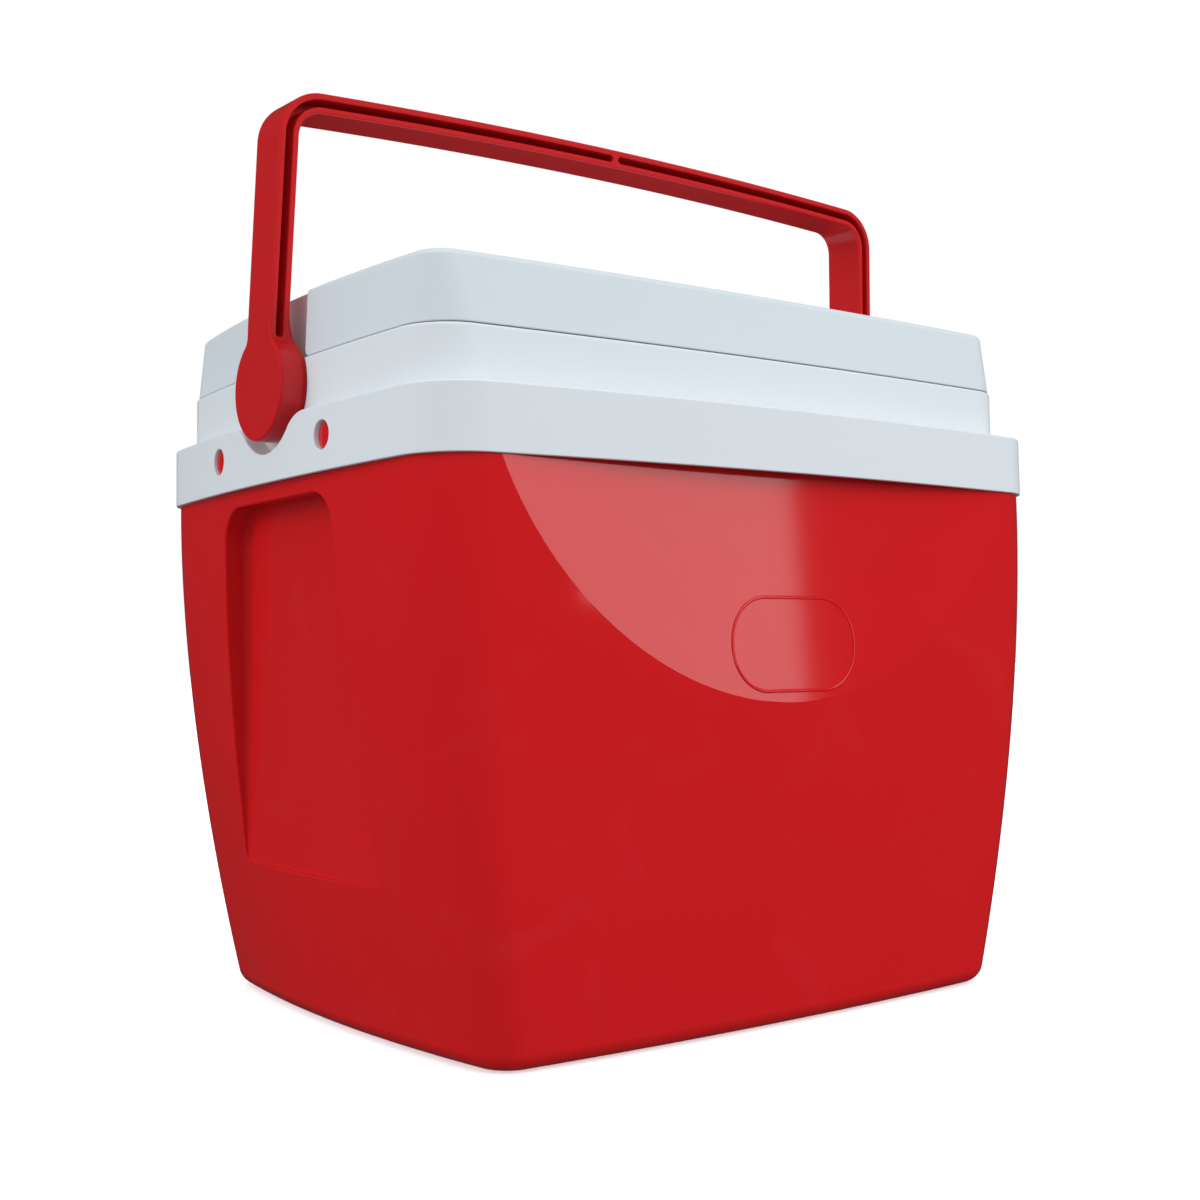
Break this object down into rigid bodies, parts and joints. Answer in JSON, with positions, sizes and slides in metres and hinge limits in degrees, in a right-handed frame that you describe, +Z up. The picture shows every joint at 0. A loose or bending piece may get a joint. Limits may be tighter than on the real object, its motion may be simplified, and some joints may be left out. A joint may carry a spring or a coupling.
{
  "type": "portable cool box",
  "caption": "Portable insulated cool box: tapered foam-walled tub, push-fit collar, lift-off lid and folding bail handle.",
  "frame": {"origin": "centre of the footprint on the ground, under the middle of the body", "axes": "+Z up, +X along the length, so the handle's hubs are at +X and -X; -Y is the front"},
  "size_m": [0.446, 0.34, 0.496],
  "materials": {
    "body_red": "gloss",
    "handle_red": "satin",
    "collar_white": "satin",
    "lid_white": "satin",
    "tub_white": "satin",
    "foam": "matte"
  },
  "bodies": {
    "box": {"outer_body": "body_red", "body_insulation": "foam", "inner_tub": "tub_white", "collar": "collar_white"},
    "lid": {"lid_cover": "lid_white", "lid_insulation": "foam", "lid_liner": "tub_white"},
    "handle": {"handle": "handle_red"}
  },
  "joints": [
    {"name": "handle_swing", "type": "hinge", "parent": "box", "child": "handle", "pos_m": [0, 0, 0.334], "axis": [1, 0, 0], "range_deg": [-93, 87]},
    {"name": "lid_lift", "type": "slide", "parent": "box", "child": "lid", "axis": [0, 0, 1], "range_m": [0, 0.08]}
  ]
}
